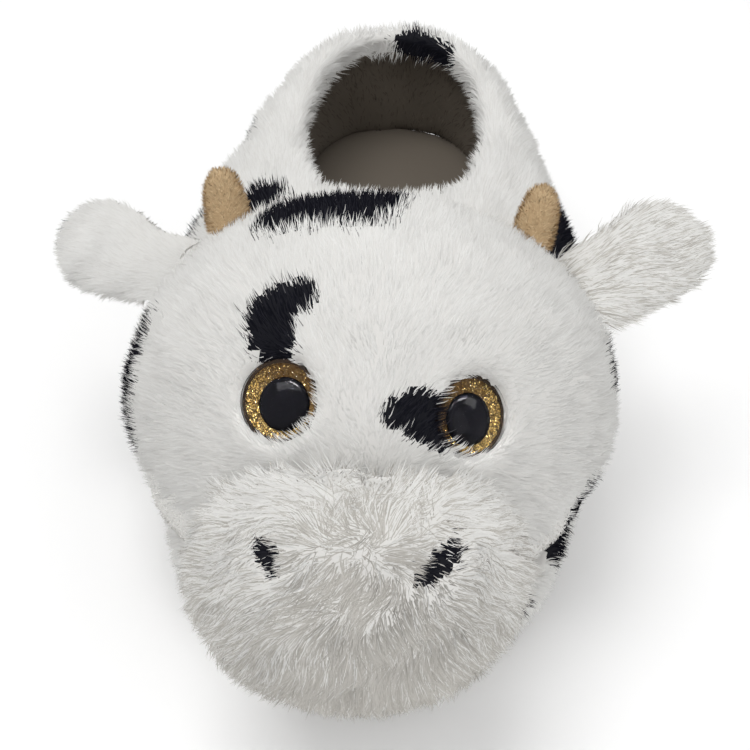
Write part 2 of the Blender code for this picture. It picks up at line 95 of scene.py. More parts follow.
# Colours of the hair
WHITES = ((0.715, 0.71, 0.69), (0.685, 0.678, 0.657), (0.65, 0.64, 0.617))
# The greys stand partly for the muzzle's own beige-grey tint and partly for painted shade on the muzzle's
# lower front and on the left ear
GREYS_TINT_AND_SHADE = ((0.515, 0.497, 0.463), (0.435, 0.416, 0.383))
BLACKS = ((0.0065, 0.0068, 0.010), (0.016, 0.016, 0.021))
SMOKES = ((0.085, 0.083, 0.088), (0.22, 0.215, 0.215))
TANS = ((0.54, 0.395, 0.235), (0.43, 0.30, 0.17), (0.63, 0.475, 0.295))
TAUPES = ((0.155, 0.133, 0.108), (0.115, 0.096, 0.076))

# Black spots as runs of (x, y, z, radius)
FACE_SPOTS = (
    ((-19.6, -61.0, 114.9, 5.0), (-24.7, -62.2, 112.2, 6.0), (-27.5, -64.7, 109.3, 6.8),
     (-26.4, -68.9, 106.0, 6.8), (-25.8, -73.0, 102.6, 5.2)),
    ((5.0, -89.2, 98.6, 1.0), (7.2, -88.7, 98.5, 2.9), (10.1, -87.9, 98.3, 4.6), (13.3, -86.6, 97.8, 6.0),
     (17.5, -85.5, 95.0, 7.0), (20.7, -86.2, 90.0, 4.0)),
    ((68.0, -26.0, 62.0, 8.5), (69.0, -20.0, 58.0, 8.5)),
    ((-64.2, -33.6, 80.4, 4.0), (-66.6, -39.7, 74.6, 6.0), (-69.1, -42.4, 66.1, 7.0),
     (-70.1, -45.0, 57.4, 7.0), (-68.2, -50.9, 50.0, 5.0)),
    ((66.5, -57.0, 41.0, 4.5), (60.5, -66.0, 39.0, 4.0)),
)
# The band over the face's crest, as (x, y, z, radius), with lengths along the shoe counted at a third
FACE_BAND = (((-31.0, -22.0, 111.5, 5.0), (-26.0, -21.5, 113.5, 6.0), (-17.0, -20.5, 116.0, 6.6),
              (-9.0, -18.5, 117.0, 7.4), (-1.0, -16.5, 116.0, 8.0)),)
BAND_STRETCH = np.array((1.0, 0.34, 1.0))
BODY_SPOTS = (
    ((-36.5, 15.0, 90.0, 7.0), (-41.0, 11.0, 87.0, 5.5)),
    ((50.0, 7.0, 85.0, 8.5), (54.0, 20.0, 78.0, 9.5), (57.0, 32.0, 70.0, 9.5), (59.0, 37.0, 60.0, 7.5)),
    ((4.0, 121.0, 74.0, 6.5), (15.0, 118.0, 73.0, 5.0)),
    ((45.0, 87.0, 41.0, 8.0), (42.0, 98.0, 40.0, 9.0)),
    ((57.0, 20.0, 30.0, 6.0), (53.0, 33.0, 23.0, 9.0), (51.0, 44.0, 18.0, 6.0)),
    ((41.0, 104.0, 9.0, 6.0), (36.0, 120.0, 18.0, 8.0)),
    ((-60.0, 22.0, 60.0, 11.0), (-61.0, 30.0, 50.0, 10.0)),
    ((-46.0, 74.0, 60.0, 9.0), (-44.0, 84.0, 52.0, 8.0)),
    ((-57.0, -2.0, 16.0, 9.0), (-54.0, 12.0, 20.0, 7.0)),
    ((-30.0, 128.0, 16.0, 8.0), (-20.0, 135.0, 22.0, 8.0)),
    ((10.0, 134.0, 46.0, 9.0), (16.0, 131.0, 38.0, 8.0)),
    ((60.0, -50.0, 19.0, 5.0), (57.5, -58.0, 17.0, 5.0)),
    ((45.0, -80.0, 19.0, 4.5), (40.0, -86.0, 18.0, 4.0)),
)
MUZZLE_SPOTS = (
    ((-25.6, -118.0, 84.2, 2.4), (-24.0, -121.6, 83.4, 3.0), (-21.8, -125.0, 82.2, 2.2)),
    ((26.4, -117.2, 83.9, 2.6), (22.7, -121.6, 83.4, 3.5), (18.9, -125.6, 82.5, 2.9),
     (15.8, -127.8, 81.9, 1.5)),
)
EAR_SPOTS = (((-88.0, 14.0, 72.0, 8.0), (-94.0, 20.0, 73.0, 8.5)),)

# Creases as runs of (x, y, z, width), pressed in by a depth
MUZZLE_CREASES = (
    (3.4, ((-25, -118, 85, 5), (-21, -126, 82, 5), (-8, -130, 82, 7), (0, -133, 80, 8), (10, -131, 81, 7),
           (19, -126, 83, 5), (27, -117, 85, 5))),
    (2.6, ((-24, -121, 84, 4), (-22, -124, 83, 4))),
    (2.6, ((25, -120, 84, 4), (20, -125, 83, 4))),
    (1.8, ((2, -141, 50, 4), (2, -136, 34, 4), (2, -128, 22, 4))),
)


def points_of(mesh):
    """A mesh's points as rows."""
    found = np.empty(len(mesh.vertices) * 3)
    mesh.vertices.foreach_get("co", found)
    return found.reshape(-1, 3)


def normals_of(mesh):
    """A mesh's point normals as rows."""
    found = np.empty(len(mesh.vertices) * 3)
    mesh.vertex_normals.foreach_get("vector", found)
    return found.reshape(-1, 3)


def put_points(mesh, rows):
    """Moves a mesh's points."""
    mesh.vertices.foreach_set("co", rows.ravel())
    mesh.update()


def unit(rows):
    """Rows made one long."""
    return rows / np.maximum(np.linalg.norm(rows, axis=1, keepdims=True), 1e-12)


def waves(places, seed, length, count=6):
    """Soft random numbers, three a place, that change over about the given length."""
    rng = np.random.default_rng(seed)
    found = np.zeros((len(places), 3))
    for _ in range(count):
        way = unit(rng.normal(size=(1, 3)))[0] * 2 * math.pi / (length * rng.uniform(0.7, 1.6))
        found += np.sin(places @ way[:, None] + rng.uniform(0, 6.28, 3)) * rng.uniform(0.5, 1.0, 3)
    return found / math.sqrt(count)


def settled(piece):
    """Applies a piece's modifiers to its mesh."""
    view = bpy.context.evaluated_depsgraph_get()
    mesh = bpy.data.meshes.new_from_object(piece.evaluated_get(view))
    piece.modifiers.clear()
    piece.data = mesh
    mesh.name = piece.name
    return mesh


def relaxed(mesh, rounds):
    """Smooths a mesh softly."""
    ends = np.empty(len(mesh.edges) * 2, int)
    mesh.edges.foreach_get("vertices", ends)
    a, b = ends.reshape(-1, 2).T
    rows = points_of(mesh)
    many = np.bincount(a, minlength=len(rows)) + np.bincount(b, minlength=len(rows))
    for _ in range(rounds):
        total = np.zeros_like(rows)
        for k in range(3):
            total[:, k] = np.bincount(a, rows[b, k], len(rows)) + np.bincount(b, rows[a, k], len(rows))
        rows = rows * 0.5 + total / many[:, None] * 0.5
    put_points(mesh, rows)


def stuffed(piece, limit):
    """Blows a closed cover up a little, as loose fibre does, by a cloth simulation with pressure."""
    mesh = piece.data
    before = points_of(mesh)
    cloth = piece.modifiers.new("stuffing", "CLOTH")
    cloth.settings.use_pressure = True
    cloth.settings.uniform_pressure_force = 4.0
    cloth.settings.effector_weights.gravity = 0.0
    cloth.settings.quality = 5
    cloth.point_cache.frame_start = 1
    cloth.point_cache.frame_end = 20
    for k in range(1, 21):
        scene.frame_set(k)
    mesh = settled(piece)
    move = points_of(mesh) - before
    far = np.linalg.norm(move, axis=1, keepdims=True)
    put_points(mesh, before + move * np.minimum(1.0, limit / np.maximum(far, 1e-9)))
    scene.frame_set(1)


def cover(name, node, voxel, inset, rounds, limit=0.0, unevenness=0.0005, shape=None, finer=True):
    """A soft cover over a CAD solid: remeshed, rounded, drawn in under the hair and stuffed."""
    piece = bpy.data.objects.new(name, bpy.data.objects[node].data.copy())
    scene.collection.objects.link(piece)
    piece.data.materials.clear()
    step = piece.modifiers.new("remesh", "REMESH")
    step.mode = "VOXEL"
    step.voxel_size = voxel
    mesh = settled(piece)
    relaxed(mesh, rounds)
    put_points(mesh, points_of(mesh) - normals_of(mesh) * inset)
    if limit:
        stuffed(piece, limit)
    if shape:
        shape(piece.data)
    rows = points_of(piece.data)
    bumps = waves(rows, len(name), 0.028)[:, :1] * unevenness
    put_points(piece.data, rows + normals_of(piece.data) * bumps)
    if finer:
        fine = piece.modifiers.new("fine", "SUBSURF")
        fine.levels = fine.render_levels = 1
    mesh = settled(piece)
    mesh.shade_smooth()
    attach(piece, "root")
    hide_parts(node)
    return piece


def nearness(places, runs):
    """How near places (in metres) are to runs of (x, y, z, radius) in mm: 0 on a run, 1 at its edge."""
    best = np.full(len(places), 1e9)
    rows = places / MM
    for run in runs:
        for a, b in zip(run, run[1:]) if len(run) > 1 else ((run[0], run[0]),):
            a, b = np.array(a, float), np.array(b, float)
            way = b[:3] - a[:3]
            share = np.clip((rows - a[:3]) @ way / max(way @ way, 1e-9), 0, 1)
            gap = np.linalg.norm(rows - a[:3] - share[:, None] * way, axis=1)
            best = np.minimum(best, gap / (a[3] + (b[3] - a[3]) * share))
    return best


def in_runs(runs):
    """A reader of how near places are to runs."""
    return lambda places, out: nearness(places, runs)


def creased(piece, creases):
    """Presses creases into a cover."""
    mesh = piece.data
    rows, out = points_of(mesh), normals_of(mesh)
    for depth, run in creases:
        near = nearness(rows, (run,))
        rows = rows - out * (depth * MM * np.exp(-near * near))[:, None]
    put_points(mesh, rows)


def scattered(mesh, count, rng):
    """Random places on a mesh, evenly by area, with the surface's direction there."""
    mesh.calc_loop_triangles()
    corners = np.empty(len(mesh.loop_triangles) * 3, int)
    mesh.loop_triangles.foreach_get("vertices", corners)
    corners = corners.reshape(-1, 3)
    rows, out = points_of(mesh), normals_of(mesh)
    a, b, c = (rows[corners[:, k]] for k in range(3))
    area = np.linalg.norm(np.cross(b - a, c - a), axis=1) / 2
    picked = np.searchsorted(np.cumsum(area) / area.sum(), rng.random(count))
    u, v = rng.random((2, count))
    fold = u + v > 1
    u[fold], v[fold] = 1 - u[fold], 1 - v[fold]
    weights = np.stack((1 - u - v, u, v), axis=1)[:, :, None]
    found = (rows[corners[picked]] * weights).sum(axis=1)
    return found, unit((out[corners[picked]] * weights).sum(axis=1)), area.sum()


def tree_of(piece):
    """A piece's surface, for finding what lies near it."""
    mesh = piece.data
    return BVHTree.FromPolygons([v.co for v in mesh.vertices], [p.vertices for p in mesh.polygons])


def laid_on(piece, runs, limit=0.010):
    """Runs of spots moved onto a cover, where they lie near it."""
    tree = tree_of(piece)
    found = []
    for run in runs:
        moved = []
        for x, y, z, radius in run:
            place = Vector((x, y, z)) * MM
            near = tree.find_nearest(place, limit)[0]
            moved.append((*(near / MM if near else place / MM), radius))
        found.append(tuple(moved))
    return tuple(found)


def bare(places, out, trees):
    """Which places have none of the trees' surfaces in front of them, within each tree's reach."""
    free = np.ones(len(places), bool)
    for k, (place, way) in enumerate(zip(places, out)):
        start, along = Vector(place), Vector(way)
        for tree, reach in trees:
            if tree.ray_cast(start, along, reach)[0] is not None:
                free[k] = False
                break
    return free


def shade(name, colour, roughness, **more):
    """A surface with a fine nap in its bump, or a smooth one where the bump is 0."""
    found = bpy.data.materials.new(name)
    found.use_nodes = True
    nodes, links = found.node_tree.nodes, found.node_tree.links
    shader = nodes["Principled BSDF"]
    shader.inputs["Base Color"].default_value = (*colour, 1)
    shader.inputs["Roughness"].default_value = roughness
    shader.inputs["Specular IOR Level"].default_value = more.get("specular", 0.25)
    shader.inputs["Metallic"].default_value = more.get("metallic", 0.0)
    shader.inputs["Coat Weight"].default_value = more.get("coat", 0.0)
    shader.inputs["Coat Roughness"].default_value = more.get("coat_roughness", 0.05)
    if not more.get("bump", 0.3):
        return found
    place = nodes.new("ShaderNodeTexCoord")
    grain = nodes.new("ShaderNodeTexNoise")
    grain.inputs["Scale"].default_value = more.get("scale", 900)
    grain.inputs["Detail"].default_value = 4
    bump = nodes.new("ShaderNodeBump")
    bump.inputs["Strength"].default_value = more.get("bump", 0.3)
    bump.inputs["Distance"].default_value = more.get("depth", 0.0004)
    links.new(place.outputs["Object"], grain.inputs["Vector"])
    links.new(grain.outputs["Fac"], bump.inputs["Height"])
    links.new(bump.outputs["Normal"], shader.inputs["Normal"])
    return found


def hair_kind(word, colours, roughness=0.8):
    """The shades of one kind of hair."""
    return [shade(f"hair_{word}_{k}", c, roughness, specular=0.0, bump=0.1) for k, c in enumerate(colours)]


white_hair = hair_kind("white", WHITES)
grey_hair = hair_kind("grey", GREYS_TINT_AND_SHADE)
black_hair = hair_kind("black", BLACKS, 0.6)
tan_hair = hair_kind("tan", TANS)
taupe_hair = hair_kind("taupe", TAUPES, 0.85)
smoke_hair = hair_kind("smoke", SMOKES, 0.7)

# All shades in a row, and where each kind starts in it
hair_shades = white_hair + grey_hair + smoke_hair + black_hair
WHITE = 0
GREY = WHITE + len(WHITES)
SMOKE = GREY + len(GREYS_TINT_AND_SHADE)
BLACK = SMOKE + len(SMOKES)
skin_white = shade("pile_white", WHITES[2], 0.9, specular=0.05, bump=0.15, depth=0.0003)
skin_black = shade("pile_black", BLACKS[0], 0.8, specular=0.05, bump=0.15, depth=0.0003)
skin_tan = shade("pile_tan", TANS[1], 0.9, specular=0.05, bump=0.2)
lining_cloth = shade("lining_taupe", TAUPES[0], 0.95, specular=0.05, bump=0.3, depth=0.0003, scale=500)


def faces_of(mesh):
    """The middles and directions of a mesh's faces as rows."""
    found = []
    for kind in ("center", "normal"):
        rows = np.empty(len(mesh.polygons) * 3)
        mesh.polygons.foreach_get(kind, rows)
        found.append(rows.reshape(-1, 3))
    return found


def dress(piece, near_of=None, lining=None):
    """Gives a cover its white or black base face by face, and its lining."""
    mesh = piece.data
    for surface in (skin_white, skin_black, lining_cloth):
        mesh.materials.append(surface)
    places, out = faces_of(mesh)
    which = np.zeros(len(places), int)
    if near_of:
        which[near_of(places, out) < 1] = 1
    if lining:
        which[lining(places, out)] = 2
    mesh.polygons.foreach_set("material_index", which)


def across_eye(places, at):
    """How far places lie from an eye's axis, and how far along it."""
    middle, way = np.array(at[0]), np.array(at[1])
    away = places - middle
    along = away @ way
    return np.linalg.norm(away - along[:, None] * way, axis=1), along


def over_dome(places, at):
    """Moves places that would lie inside an eye's dome to just outside it."""
    across, height = across_eye(places, at)
    share = np.sqrt(np.clip(1 - (across / (EYE_RADIUS + 0.0004)) ** 2, 0, 1))
    top = LENS_FOOT + 0.0012 + (LENS_RISE - 0.0008) * share
    lift = np.where((share > 0) & (height > -0.004) & (height < top), top - height, 0)
    return places + lift[:, None] * np.array(at[1])


def bent(places, out, flow, length, rng, more):
    """The points along each hair: it stands up from its place and bends over along the flow."""
    count, steps = len(places), more.get("steps", 2)
    rise = np.radians(more.get("rise", 60) + rng.normal(0, RISE_SPREAD, count))
    fall = np.radians(more.get("fall", 20) + rng.normal(0, more.get("fall_spread", 14), count))
    length = length * rng.uniform(1 - LENGTH_SPREAD, 1 + LENGTH_SPREAD, count)
    flow = unit(flow - out * (flow * out).sum(axis=1, keepdims=True))
    spine = [places - out * ROOT_DEPTH]
    for k in range(steps):
        lean = rise + (fall - rise) * (k + 0.5) / steps
        way = out * np.sin(lean)[:, None] + flow * np.cos(lean)[:, None]
        spine.append(spine[-1] + way * (length / steps)[:, None])
    return spine


def clumped(spine, places, rng, more):
    """Draws the tips together in tufts."""
    count, steps = len(places), len(spine) - 1
    clump = more.get("clump", 0.4)
    chosen = rng.choice(count, max(1, int(count / more.get("clump_count", 18))), replace=False)
    finder = kdtree.KDTree(len(chosen))
    for k, i in enumerate(chosen):
        finder.insert(places[i], k)
    finder.balance()
    leaders = chosen[np.array([finder.find(p)[1] for p in places])]
    gap = np.linalg.norm(places[leaders] - places, axis=1)
    pull = spine[-1][leaders] - spine[-1]
    near = np.clip(1.6 - gap / CLUMP_SIZE * 0.5, 0.2, 1)
    pull *= (clump * rng.uniform(0.3, 1.0, count) * near)[:, None]
    return spine[:1] + [spine[k] + pull * (k / steps) ** 1.6 for k in range(1, steps + 1)]


def strips(name, spine, facing, width, rng):
    """A mesh with one tapered strip a hair, and how many points and faces each has."""
    count, steps = len(facing), len(spine) - 1
    twist = rng.normal(0, 0.35, count)[:, None]
    rows = []
    for k in range(steps):
        way = unit(spine[k + 1] - spine[max(k - 1, 0)])
        side = unit(np.cross(way, facing))
        side = side * np.cos(twist) + np.cross(side, way) * np.sin(twist)
        half = side * (width / 2 * (1 - 0.45 * k / steps))[:, None]
        rows += [spine[k] - half, spine[k] + half]
    rows.append(spine[steps])
    per = len(rows)
    base = np.arange(count) * per
    faces = []
    for k in range(steps - 1):
        l0, r0, l1, r1 = (base + 2 * k + j for j in range(4))
        faces += [np.stack((l0, r0, r1), 1), np.stack((l0, r1, l1), 1)]
    faces.append(np.stack((base + per - 3, base + per - 2, base + per - 1), 1))
    corners = np.stack(faces, 1).reshape(-1, 3)
    points = np.stack(rows, 1).reshape(-1, 3)
    mesh = bpy.data.meshes.new(name)
    mesh.vertices.add(len(points))
    mesh.vertices.foreach_set("co", points.ravel())
    mesh.loops.add(corners.size)
    mesh.loops.foreach_set("vertex_index", corners.ravel().astype(np.int32))
    mesh.polygons.add(len(corners))
    mesh.polygons.foreach_set("loop_start", np.arange(0, corners.size, 3, dtype=np.int32))
    return mesh, per, len(faces)


def hairs(name, places, out, flow, length, width, which, shades, **more):
    """Pile as tapered strips, lit by the cover's own direction, so that it looks soft."""
    seed = more.get("seed", 1)
    rng = np.random.default_rng(seed)
    spine = clumped(bent(places, out, flow, length, rng, more), places, rng, more)
    for at in eyes.values():
        spine[1:] = [over_dome(row, at) for row in spine[1:]]
    facing = out
    if "ball" in more:
        facing = unit(out * 0.45 + unit(places - np.array(more["ball"])) * 0.55)
    mesh, points_each, faces_each = strips(name, spine, facing, width, rng)
    for surface in shades:
        mesh.materials.append(surface)
    mesh.polygons.foreach_set("material_index", np.repeat(which, faces_each).astype(np.int32))
    mesh.update(calc_edges=True)
    mesh.shade_smooth()
    tips = facing + more.get("soft", 0.35) * rng.normal(size=(len(places), 3))
    tips += more.get("tuft", 0.12) * waves(places, seed + 70, TUFT_SIZE)
    mesh.normals_split_custom_set_from_vertices(unit(tips).repeat(points_each, axis=0))
    piece = bpy.data.objects.new(name, mesh)
    scene.collection.objects.link(piece)
    piece.visible_shadow = piece.visible_diffuse = False
    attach(piece, "root")
    return piece


def colours_for(places, near, rng, greyness=None, edge=0.16):
    """Each hair's shade: black in a spot, smoky at its edge, and else white with soft streaks and greys, the
    greys partly a tint and partly painted shade.
    """
    tone = waves(places, 5, 0.012)[:, 0] * 0.35 + rng.normal(0, 0.55, len(places))
    which = np.where(tone > 0.75, WHITE + 2, np.where(tone > 0.1, WHITE + 1, WHITE))
    if greyness is not None:
        grey = rng.random(len(places)) < greyness
        which = np.where(grey, GREY + (rng.random(len(places)) < 0.4), which)
    if near is not None:
        near = near + rng.normal(0, edge, len(places)) + waves(places, 8, 0.011)[:, 0] * 0.09
        which = np.where((near < 1.12) & (rng.random(len(places)) < 0.5), SMOKE + (near > 1.02), which)
        which = np.where(near < 1, BLACK + (rng.random(len(places)) < 0.35), which)
    return which


def eye_frame(word):
    """An eye's middle, the way it looks, and two directions across it."""
    middle = {}
    for kind in ("eye", "lens"):
        middle[kind] = Vector(points_of(bpy.data.objects[f"{kind}_{word}"].data).mean(axis=0))
    out = (middle["lens"] - middle["eye"]).normalized()
    across = Vector((0, 0, 1)).cross(out).normalized()
    return middle["eye"], out, across, out.cross(across)


eyes = {word: eye_frame(word) for word in ("left", "right")}


def off_eyes(places, margin):
    """Which places are outside the eyes' edges."""
    free = np.ones(len(places), bool)
    for at in eyes.values():
        across, along = across_eye(places, at)
        free &= (across > EYE_RADIUS + margin) | (along < -0.006)
    return free


def near_the_eyes(mesh):
    """Brings the face's cover up close round the eyes."""
    rows = points_of(mesh)
    lift = np.zeros(len(rows))
    for at in eyes.values():
        across, along = across_eye(rows, at)
        lift = np.maximum(lift, np.exp(-((across - EYE_RADIUS - 0.0015) / 0.004) ** 2) * (along > -0.004))
    put_points(mesh, rows + normals_of(mesh) * (0.0022 * lift)[:, None])


def behind_eyes(piece):
    """Presses a cover down behind the eyes' backs."""
    rows = points_of(piece.data)
    for at in eyes.values():
        across, along = across_eye(rows, at)
        under = (across < EYE_RADIUS - 0.0002) & (along > -0.006)
        down = np.where(under, np.minimum(along, -0.0022) - along, 0)
        rows = rows + down[:, None] * np.array(at[1])
    put_points(piece.data, rows)


def ear_way(word):
    """The direction from an ear's root to its tip."""
    rows = points_of(bpy.data.objects[f"ear_{word}"].data)
    reach = np.abs(rows[:, 0])
    tip = rows[reach > reach.max() - 0.004].mean(axis=0)
    root = rows[reach < reach.min() + 0.004].mean(axis=0)
    return unit((tip - root)[None])[0]


ear_ways = {word: ear_way(word) for word in ("left", "right")}
root_trees = [tree_of(bpy.data.objects[n]) for n in ("face", "upper")]


def rooted(way, push):
    """Lets a cover's root reach into what it is sewn to."""
    def shape(mesh):
        rows = points_of(mesh)
        gap = np.array([min(tree.find_nearest(Vector(p))[3] for tree in root_trees) for p in rows])
        put_points(mesh, rows - np.array(way) * (push * np.clip(1.6 - gap / 0.005, 0, 1))[:, None])
    return shape


def slimmer(mesh):
    """Draws the outside of the upper in under its hair, and leaves its lining."""
    rows, out = points_of(mesh), normals_of(mesh)
    put_points(mesh, rows - out * np.where(lined(rows, out), 0.0, 0.0026)[:, None])


def wider(mesh):
    """Spreads the footbed's rim under the lining."""
    rows, out = points_of(mesh), normals_of(mesh)
    put_points(mesh, rows + out * np.array((0.0045, 0.0045, 0.0003)))


def lined(places, out):
    """Which places of the upper are inside it, below the rim."""
    ahead = np.clip(places[:, 1:2], AXIS_START, AXIS_END)
    from_axis = places - np.hstack((np.zeros_like(ahead), ahead, np.full_like(ahead, AXIS_HEIGHT)))
    inwards = (unit(from_axis) * out).sum(axis=1) < 0.0
    inwards |= (places[:, 2] < FOOTBED_TOP - 0.004 * (places[:, 1] < 0.0)) & (out[:, 2] < -0.5)
    return inwards & (places[:, 2] < COLLAR_TOP + 0.012 * np.clip((0.05 - places[:, 1]) / 0.05, 0, 1))


def under_footbed(places, out):
    """Which places of the sole's cover lie under the footbed or its edge."""
    tree = tree_of(footbed)
    return np.array([tree.find_nearest(Vector(p), 0.006)[0] is not None for p in places])


# Covers: name, node, voxel size, how deep under the hair, rounds of smoothing, how far the stuffing may blow
# them out, and their unevenness
face = cover("face_cover", "face", 0.004, 0.0040, 3, 0.002, shape=near_the_eyes)
behind_eyes(face)
muzzle = cover("muzzle_cover", "muzzle", 0.004, 0.0052, 3, 0.002)
creased(muzzle, MUZZLE_CREASES)
ears = {word: cover(f"ear_{word}_cover", f"ear_{word}", 0.0028, 0.0030, 2, 0.0012,
                    shape=rooted(ear_ways[word], 0.008)) for word in ("left", "right")}
horns = {word: cover(f"horn_{word}_cover", f"horn_{word}", 0.0020, 0.0011, 2, 0.0006, 0.0002,
                     rooted((side * 0.2, 0.42, 0.88), 0.005)) for word, side in (("left", 1), ("right", -1))}
body = cover("upper_cover", "upper", 0.0040, 0.0009, 2, 0.0, 0.0009, slimmer)
band = cover("band_cover", "midsole", 0.0040, 0.0018, 2, 0.0, 0.0004)
footbed = cover("insole_cover", "insole", 0.0018, 0.0001, 1, 0.0, 0.0002, wider, finer=False)

face_spots, muzzle_spots = laid_on(face, FACE_SPOTS), laid_on(muzzle, MUZZLE_SPOTS)
body_spots, band_spots = laid_on(body, BODY_SPOTS), laid_on(band, BODY_SPOTS)
face_band = tuple(tuple((*(np.array(row[:3]) * BAND_STRETCH), row[3]) for row in run)
                  for run in laid_on(face, FACE_BAND))


def near_face(places, out):
    """How near places of the face are to its spots and its band."""
    return np.minimum(nearness(places, face_spots), nearness(places * BAND_STRETCH, face_band))


def near_ear(places, out):
    """How near places of the right ear's back are to its spot."""
    return nearness(places, EAR_SPOTS) + 9.0 * (out @ np.array(EAR_FRONT) > -0.2)


dress(face, near_face)
dress(muzzle, in_runs(muzzle_spots))
dress(ears["left"])
dress(ears["right"], near_ear)
dress(body, in_runs(body_spots), lined)
dress(band, in_runs(band_spots), under_footbed)
for word in horns:
    horns[word].data.materials.append(skin_tan)
footbed.data.materials.append(lining_cloth)


# Hair grows where no other cover lies within the reach in front of it
trees = {"upper": tree_of(body), "face": tree_of(face), "muzzle": tree_of(muzzle), "midsole": tree_of(band)}
REACHES = {"upper": 0.004, "face": 0.004, "muzzle": 0.005, "midsole": 0.004}


def grow(name, piece, count, flow_of, length, width, near_of, others, slot="plush", **more):
    """Scatters hair over a cover where nothing covers it."""
    rng = np.random.default_rng(more.get("seed", 1) + 50)
    places, out, _ = scattered(piece.data, int(count * more.get("extra", 1.5)), rng)
    keep = np.ones(len(places), bool)
    if "only" in more:
        keep &= more["only"](places, out)
    places, out = places[keep], out[keep]
    free = bare(places, out, [(trees[n], more.get("reach", REACHES[n])) for n in others])
    places, out = places[free][:count], out[free][:count]
    flow = flow_of(places, out)
    stray = waves(places, more.get("seed", 1) + 9, more.get("swirl", 0.02))
    flow = unit(flow) + stray * more.get("stray", 0.3)
    flow += rng.normal(0, more.get("mess", 0.2), flow.shape)
    size = np.full(len(places), length)
    if "sizes" in more:
        size *= more["sizes"](places, out)
    lying = unit(flow - out * (flow * out).sum(axis=1, keepdims=True))
    seen = places + lying * (size * 0.45)[:, None] + out * 0.002
    grey = more["greyness"](places) if "greyness" in more else None
    which = colours_for(seen, near_of(seen, out) if near_of else None, rng, grey, more.get("edge", 0.16))
    made = hairs(name, places, out, flow, size, np.full(len(places), width), which, hair_shades, **more)


def from_nose(places, out):
    """Hair combed away from the middle of the muzzle."""
    return places - np.array((0.002, -0.128, 0.076))


def from_swirl(places, out):
    """Hair combed away from the swirl between the nostrils, and a little down, in a tangle at its middle."""
    away = places - np.array((0.003, -0.119, 0.088))
    tangle = np.exp(-((away**2).sum(axis=1) / 0.018**2))[:, None]
    down = np.array((0, 0, -0.25))
    return unit(away) * (1 - 0.8 * tangle) + down + waves(places, 77, 0.009) * 1.5 * tangle


def to_heel(places, out):
    """Hair combed to the heel and down."""
    return np.tile(np.array((0.0, 1.0, -0.45)), (len(places), 1))


def down_band(places, out):
    """Hair of the sole's band, combed down and back."""
    return np.tile(np.array((0.0, 0.5, -0.9)), (len(places), 1))


def near_eyes(places, out):
    """Shorter hair at the eyes, apart from below and towards the nose."""
    found = np.ones(len(places))
    for middle, way, _, _ in eyes.values():
        away = places - np.array(middle)
        along = away @ np.array(way)
        flat = away - along[:, None] * np.array(way)
        gap = np.clip((np.linalg.norm(flat, axis=1) - EYE_RADIUS) / 0.008, 0, 1)
        below = np.clip(-flat[:, 2] / EYE_RADIUS, 0, 1) * 0.3
        found = np.minimum(found, 0.6 + below + (0.4 - below) * gap)
    return found


grow("face_hair", face, 65000, from_nose, 0.0046, 0.00030, near_face, ("muzzle", "upper"),
     only=lambda p, n: off_eyes(p, 0.0002) & (n[:, 2] > -0.95), seed=11, stray=0.3, rise=56, fall=30,
     sizes=near_eyes, soft=0.08, ball=HEAD_MIDDLE, extra=1.7)


def swirl_tint_and_shade(places):
    """More grey hair round the swirl, partly the muzzle's own beige-grey tint and partly painted shade, and
    more towards the bottom of the front as painted shade.
    """
    gap = np.linalg.norm((places - np.array((0.005, -0.130, 0.082))) * np.array((1.0, 1.0, 0.8)), axis=1)
    # Painted shade: more grey hair the lower it grows on the muzzle's front
    low_shade = np.clip((0.080 - places[:, 2]) / 0.035, 0, 1)
    tufts = waves(places, 21, 0.016)[:, 0] * 0.12
    return np.clip(0.16 + 0.8 * np.exp(-(gap / 0.025) ** 2) + 0.62 * low_shade + tufts, 0, 0.95)


def muzzle_lengths(places, out):
    """Shorter hair at the nostrils."""
    return 1 - 0.6 * np.exp(-(np.maximum(nearness(places, muzzle_spots) - 1, 0) / 1.2) ** 2)


def along_ear(word):
    """Hair combed from an ear's root to its tip."""
    return lambda places, out: np.tile(ear_ways[word], (len(places), 1))


def outside(places, out):
    """Which places of the upper are outside its lining and above its lower edge."""
    return ~lined(places, out) & (places[:, 2] > 0.024)


def on_side(places, out):
    """Which places of the band are on its side, off the floor and off the footbed."""
    return (np.abs(out[:, 2]) < 0.8) & (places[:, 2] > 0.0055) & ~under_footbed(places, out)


grow("muzzle_hair", muzzle, 38000, from_swirl, 0.0072, 0.00030, in_runs(muzzle_spots),
     ("face", "upper", "midsole"), "plush_long", steps=3, seed=12, stray=0.85, mess=0.3, rise=50, fall=18,
     fall_spread=16, clump=0.55, clump_count=30, greyness=swirl_tint_and_shade, sizes=muzzle_lengths, swirl=0.012,
     extra=2.4, soft=0.12, tuft=0.22, ball=HEAD_MIDDLE, edge=0.25)
grow("upper_hair", body, 64000, to_heel, 0.0046, 0.00034, in_runs(body_spots), ("face", "midsole"),
     only=outside, seed=13, stray=0.3, extra=2.8, rise=58, fall=34, soft=0.08, clump=0.25)
grow("band_hair", band, 17000, down_band, 0.0046, 0.00040, in_runs(band_spots), ("upper", "muzzle", "face"),
     only=on_side, seed=14, stray=0.35, extra=4.6, soft=0.10)
grow("ear_right_hair", ears["right"], 15000, along_ear("right"), 0.0040, 0.00034, near_ear,
     ("face", "upper"), seed=15, rise=66, fall=34, soft=0.08, reach=0.006, extra=1.8)
# Painted shade: the left ear's hair is greyed all over, as that ear faces away from the light
grow("ear_left_hair", ears["left"], 12500, along_ear("left"), 0.0085, 0.00042, None, ("face", "upper"),
     seed=16, steps=3, rise=50, fall=8, clump=0.5, clump_count=30, soft=0.15, reach=0.006, extra=1.8,
     greyness=lambda places: np.full(len(places), 0.35))


